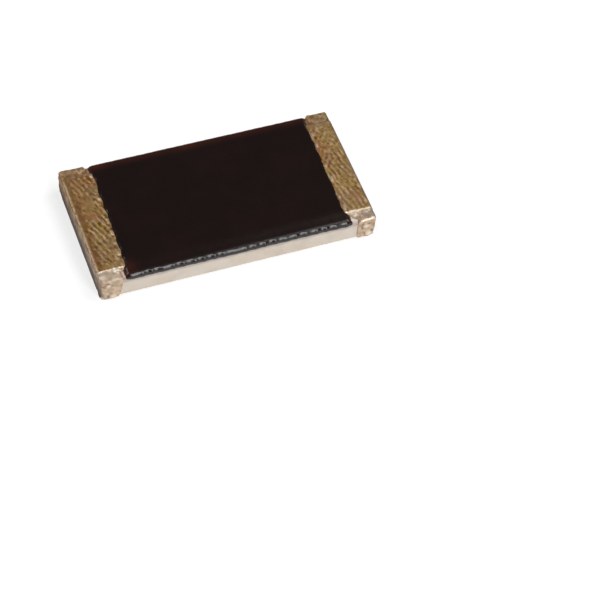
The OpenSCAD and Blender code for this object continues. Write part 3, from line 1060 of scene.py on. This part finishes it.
def dressSheet(sheet, side, seed):
    # relief of an outer sheet, and the marks that the finish reads
    look = skinSettings
    roughenSheet(sheet, side, seed)
    if sheet.where != "wall":
        dressPad(sheet, side, seed)
    if sheet.where == "top":
        dressTop(sheet, side, seed)
    elif sheet.where == "foot":
        dressFoot(sheet)
    else:
        dressWall(sheet, side)
    if sheet.where != "foot":
        # painted highlight along the upper edges of the band
        bright = 0.6 * (1.0 - look["bandMatt"][side]) * sheet.rubbed
        sheet.worn = np.maximum(sheet.worn, bright * sheet.upperEdge * (1.0 - sheet.outX))
    keep = smoothStep(0.0, look["quietRim"], sheet.off)
    sheet.worn = np.clip(sheet.worn, 0.0, look["mostWorn"]) * keep
    push = np.maximum(sheet.push, look["deepest"]) * keep
    sheet.x, sheet.y, sheet.z = (at + push * sheet.normal[..., i]
                                 for i, at in enumerate((sheet.x, sheet.y, sheet.z)))


def joinSheets(shells, side):
    # points, marks and faces of the outer and the inner surface, which share their rims
    points, faces = [], []
    marks = {mark: [] for mark in skinMarks}
    count = 0

    def addSheet(sheet, kept):
        nonlocal count
        index = np.full(kept.shape, -1)
        index[kept] = count + np.arange(kept.sum())
        points.append(np.stack([sheet.x, sheet.y, sheet.z], -1)[kept])
        for mark in skinMarks:
            marks[mark].append(getattr(sheet, mark)[kept])
        count += kept.sum()
        return index

    rims = None
    for top, foot, wall in shells:
        inwards = rims is not None
        keptFlat, keptWall = np.full(top.x.shape, True), np.full(wall.x.shape, True)
        keptWall[:, 0] = keptWall[:, -1] = False
        if inwards:
            keptFlat[0, :] = keptWall[0, :] = keptWall[-1, :] = False
        topIndex, footIndex = addSheet(top, keptFlat), addSheet(foot, keptFlat)
        wallIndex = addSheet(wall, keptWall)
        if inwards:
            topIndex[0, :], footIndex[0, :], wallIndex[0, :], wallIndex[-1, :] = rims
        for column, index in ((-1, topIndex), (0, footIndex)):
            wallIndex[:, column] = np.concatenate([index[:, 0], index[-1, 1:], index[-2::-1, -1]])
        flip = inwards != (side < 0)
        faces += [gridFaces(topIndex, flip), gridFaces(footIndex, not flip), gridFaces(wallIndex, flip)]
        rims = [row.copy() for row in (topIndex[0], footIndex[0], wallIndex[0], wallIndex[-1])]
    marks = {mark: np.concatenate(values) for mark, values in marks.items()}
    return np.vstack(points) * (side, 1, 1), np.vstack(faces), marks


def buildSkin(name, cadNode, side, seed, material):
    look = skinSettings
    innerGap = skinGrow - look["skin"]
    outerShares, innerShares = steps(*look["alongCells"]), np.array(look["insideShares"])
    outer = [roundSheet(*grid, skinGrow) for grid in skinGrids(side, seed, skinGrow, outerShares)]
    inner = [roundSheet(*grid, innerGap) for grid in skinGrids(side, seed, innerGap, innerShares)]
    for sheet in outer:
        dressSheet(sheet, side, seed)
    points, faces, marks = joinSheets((outer, inner), side)
    makePiece(name, points, faces, marks, material, cadNode)


goldBrownFinish = makeFinish()
buildSkin("leftTermination", "outer_plating_left", -1, 3, goldBrownFinish)
buildSkin("rightTermination", "outer_plating_right", 1, 17, goldBrownFinish)


# floor, light and camera

floorSettings = {
    "width": 0.6,
    "colour": (0.54, 0.54, 0.54),
    "patch": (0.5346, 0.5346, 0.5346),      # hardly darker
    "patches": (0.05, 0.2, 0.9),
    "roughness": 0.9,
    "glow": 0.60,
}


def buildFloor():
    look = floorSettings
    half = look["width"] / 2
    mesh = bpy.data.meshes.new("paleFloor")
    corners = [(-half, -half, 0), (half, -half, 0), (half, half, 0), (-half, half, 0)]
    mesh.from_pydata(corners, [], [(0, 1, 2, 3)])
    material, tree, shader = newMaterial("paleFloor")
    patches = place(tree, unevenPatches, (-400, 0), look["patches"])
    base = mixColour(tree, patches.outputs["Mask"], look["colour"], look["patch"], (100, 0))
    tree.links.new(base, shader.inputs["Base Color"])
    shader.inputs["Roughness"].default_value = look["roughness"]
    shader.inputs["Specular IOR Level"].default_value = 0.0
    # white to the eye and in reflections, with the shadow kept, clear from below and to the light from below
    rays = addNode(tree, "ShaderNodeLightPath", (100, 600))
    seen = maths(tree, "ADD", rays.outputs["Is Camera Ray"], rays.outputs["Is Glossy Ray"], (300, 600))
    seen = maths(tree, "ADD", seen, rays.outputs["Is Transmission Ray"], (450, 600), clamp=True)
    glow = addNode(tree, "ShaderNodeEmission", (600, 450))
    tree.links.new(maths(tree, "MULTIPLY", seen, look["glow"], (600, 600)), glow.inputs["Strength"])
    lit = addNode(tree, "ShaderNodeAddShader", (800, 300))
    tree.links.new(shader.outputs[0], lit.inputs[0])
    tree.links.new(glow.outputs[0], lit.inputs[1])
    below = addNode(tree, "ShaderNodeNewGeometry", (300, 300))
    clear = addNode(tree, "ShaderNodeBsdfTransparent", (600, 250))
    mix = addNode(tree, "ShaderNodeMixShader", (950, 200))
    through = maths(tree, "MAXIMUM", below.outputs["Backfacing"], rays.outputs["Is Shadow Ray"], (600, 100))
    tree.links.new(through, mix.inputs[0])
    tree.links.new(lit.outputs[0], mix.inputs[1])
    tree.links.new(clear.outputs[0], mix.inputs[2])
    tree.nodes["Material Output"].location = (1100, 200)
    tree.links.new(mix.outputs[0], tree.nodes["Material Output"].inputs["Surface"])
    mesh.materials.append(material)
    floor = bpy.data.objects.new("paleFloor", mesh)
    scene.collection.objects.link(floor)


lampSettings = {
    # direction as azimuth and elevation in degrees, as the views count them, and size in millimetres
    "frontSoftbox": {"azimuth": 14.0, "elevation": 29.0, "size": (20.0, 84.0), "power": 0.040},
    "rightSoftbox": {"azimuth": 84.0, "elevation": 52.0, "size": (70.0, 70.0), "power": 0.038},
    "footSoftbox": {"azimuth": 0.0, "elevation": -90.0, "size": (70.0, 70.0), "power": 0.045},
    "leftSoftbox": {"azimuth": -100.0, "elevation": 56.0, "size": (70.0, 70.0), "power": 0.033},
}
lampDistance = 90.0
worldSettings = {"colour": (0.96, 0.98, 1.0), "strength": 0.13}


def seenFrom(azimuth, elevation):
    # direction from the chip to whoever looks at it, or lights it, from there
    turn, lift = math.radians(azimuth), math.radians(elevation)
    return Vector((math.sin(turn) * math.cos(lift), -math.cos(turn) * math.cos(lift), math.sin(lift)))


def buildLights():
    for name, look in lampSettings.items():
        lamp = bpy.data.lights.new(name, "AREA")
        lamp.shape = "RECTANGLE"
        lamp.size, lamp.size_y = (side * mm for side in look["size"])
        lamp.energy = look["power"]
        back = seenFrom(look["azimuth"], look["elevation"])
        body = bpy.data.objects.new(name, lamp)
        body.location = back * lampDistance * mm
        body.rotation_euler = back.to_track_quat("Z", "Y").to_euler()
        scene.collection.objects.link(body)
    world = bpy.data.worlds.new("studio")
    scene.world = world
    world.use_nodes = True
    ground = world.node_tree.nodes["Background"]
    ground.inputs["Color"].default_value = (*worldSettings["colour"], 1.0)
    ground.inputs["Strength"].default_value = worldSettings["strength"]


cameraSettings = {
    "lens": 126.0,
    "sensor": 36.0,
    "clip": (0.001, 2.0),       # in metres
    "azimuth": -25.76,
    "elevation": 53.30,
    "roll": 7.06,
    "distance": 45.606,
    "aim": (0.964, -2.834, 0.0),
}


def buildCamera():
    look = cameraSettings
    turn, roll = math.radians(look["azimuth"]), math.radians(look["roll"])
    back = seenFrom(look["azimuth"], look["elevation"])
    right = Vector((math.cos(turn), math.sin(turn), 0.0))
    up = back.cross(right)
    rolledRight = right * math.cos(roll) + up * math.sin(roll)
    rolledUp = up * math.cos(roll) - right * math.sin(roll)
    spot = (Vector(look["aim"]) + back * look["distance"]) * mm
    data = bpy.data.cameras.new("photoCamera")
    data.lens = look["lens"]
    data.sensor_width = look["sensor"]
    data.clip_start, data.clip_end = look["clip"]
    camera = bpy.data.objects.new("photoCamera", data)
    turned = Matrix((rolledRight, rolledUp, back)).transposed().to_4x4()
    camera.matrix_world = Matrix.Translation(spot) @ turned
    scene.collection.objects.link(camera)
    scene.camera = camera


buildFloor()
buildLights()
buildCamera()
print("floor, lamps and camera are set")
